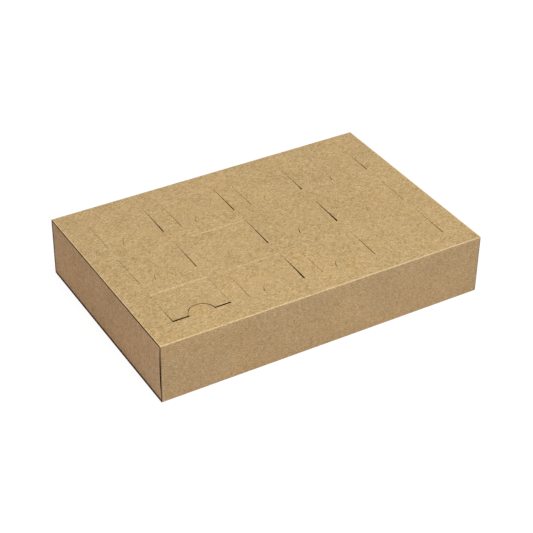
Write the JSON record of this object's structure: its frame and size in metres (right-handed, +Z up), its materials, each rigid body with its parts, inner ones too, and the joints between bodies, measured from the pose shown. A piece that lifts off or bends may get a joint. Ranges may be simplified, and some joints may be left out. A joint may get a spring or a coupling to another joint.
{
  "type": "advent calendar box",
  "caption": "Flat open-ended sleeve of kraft board with fold-up notched doors cut in its top, over a slide-out tray divided into one cell under each door.",
  "frame": {"origin": "centre of the underside of the sleeve", "axes": "+X along the length of the box, the way the tray slides; +Y from the long side nearest the doors' notches to the long side nearest their creases; +Z up, out of the panel with the doors"},
  "size_m": [0.3, 0.2, 0.055],
  "materials": {
    "sleeve_board": "matte",
    "door_board": "matte",
    "tray_board": "matte",
    "divider_board": "matte"
  },
  "bodies": {
    "sleeve": {"sleeve": "sleeve_board"},
    "tray": {"tray": "tray_board", "long_divider_1": "divider_board", "long_divider_2": "divider_board", "cross_divider_1": "divider_board", "cross_divider_2": "divider_board", "cross_divider_3": "divider_board"},
    "front_door_1": {"front_door_1": "door_board"},
    "front_door_2": {"front_door_2": "door_board"},
    "front_door_3": {"front_door_3": "door_board"},
    "front_door_4": {"front_door_4": "door_board"},
    "middle_door_1": {"middle_door_1": "door_board"},
    "middle_door_2": {"middle_door_2": "door_board"},
    "middle_door_3": {"middle_door_3": "door_board"},
    "middle_door_4": {"middle_door_4": "door_board"},
    "back_door_1": {"back_door_1": "door_board"},
    "back_door_2": {"back_door_2": "door_board"},
    "back_door_3": {"back_door_3": "door_board"},
    "back_door_4": {"back_door_4": "door_board"}
  },
  "joints": [
    {"name": "front_door_1_crease", "type": "hinge", "parent": "sleeve", "child": "front_door_1", "pos_m": [-0.10162, -0.0373, 0.055], "axis": [-1, 0, 0], "range_deg": [0, 120]},
    {"name": "front_door_2_crease", "type": "hinge", "parent": "sleeve", "child": "front_door_2", "pos_m": [-0.03388, -0.0373, 0.055], "axis": [-1, 0, 0], "range_deg": [0, 120]},
    {"name": "front_door_3_crease", "type": "hinge", "parent": "sleeve", "child": "front_door_3", "pos_m": [0.03388, -0.0373, 0.055], "axis": [-1, 0, 0], "range_deg": [0, 120]},
    {"name": "front_door_4_crease", "type": "hinge", "parent": "sleeve", "child": "front_door_4", "pos_m": [0.10162, -0.0373, 0.055], "axis": [-1, 0, 0], "range_deg": [0, 120]},
    {"name": "middle_door_1_crease", "type": "hinge", "parent": "sleeve", "child": "middle_door_1", "pos_m": [-0.10162, 0.0199, 0.055], "axis": [-1, 0, 0], "range_deg": [0, 120]},
    {"name": "middle_door_2_crease", "type": "hinge", "parent": "sleeve", "child": "middle_door_2", "pos_m": [-0.03388, 0.0199, 0.055], "axis": [-1, 0, 0], "range_deg": [0, 120]},
    {"name": "middle_door_3_crease", "type": "hinge", "parent": "sleeve", "child": "middle_door_3", "pos_m": [0.03388, 0.0199, 0.055], "axis": [-1, 0, 0], "range_deg": [0, 120]},
    {"name": "middle_door_4_crease", "type": "hinge", "parent": "sleeve", "child": "middle_door_4", "pos_m": [0.10162, 0.0199, 0.055], "axis": [-1, 0, 0], "range_deg": [0, 120]},
    {"name": "back_door_1_crease", "type": "hinge", "parent": "sleeve", "child": "back_door_1", "pos_m": [-0.10162, 0.0771, 0.055], "axis": [-1, 0, 0], "range_deg": [0, 120]},
    {"name": "back_door_2_crease", "type": "hinge", "parent": "sleeve", "child": "back_door_2", "pos_m": [-0.03388, 0.0771, 0.055], "axis": [-1, 0, 0], "range_deg": [0, 120]},
    {"name": "back_door_3_crease", "type": "hinge", "parent": "sleeve", "child": "back_door_3", "pos_m": [0.03388, 0.0771, 0.055], "axis": [-1, 0, 0], "range_deg": [0, 120]},
    {"name": "back_door_4_crease", "type": "hinge", "parent": "sleeve", "child": "back_door_4", "pos_m": [0.10162, 0.0771, 0.055], "axis": [-1, 0, 0], "range_deg": [0, 120]},
    {"name": "tray_slide", "type": "slide", "parent": "sleeve", "child": "tray", "axis": [-1, 0, 0], "range_m": [-0.28, 0.28]}
  ]
}
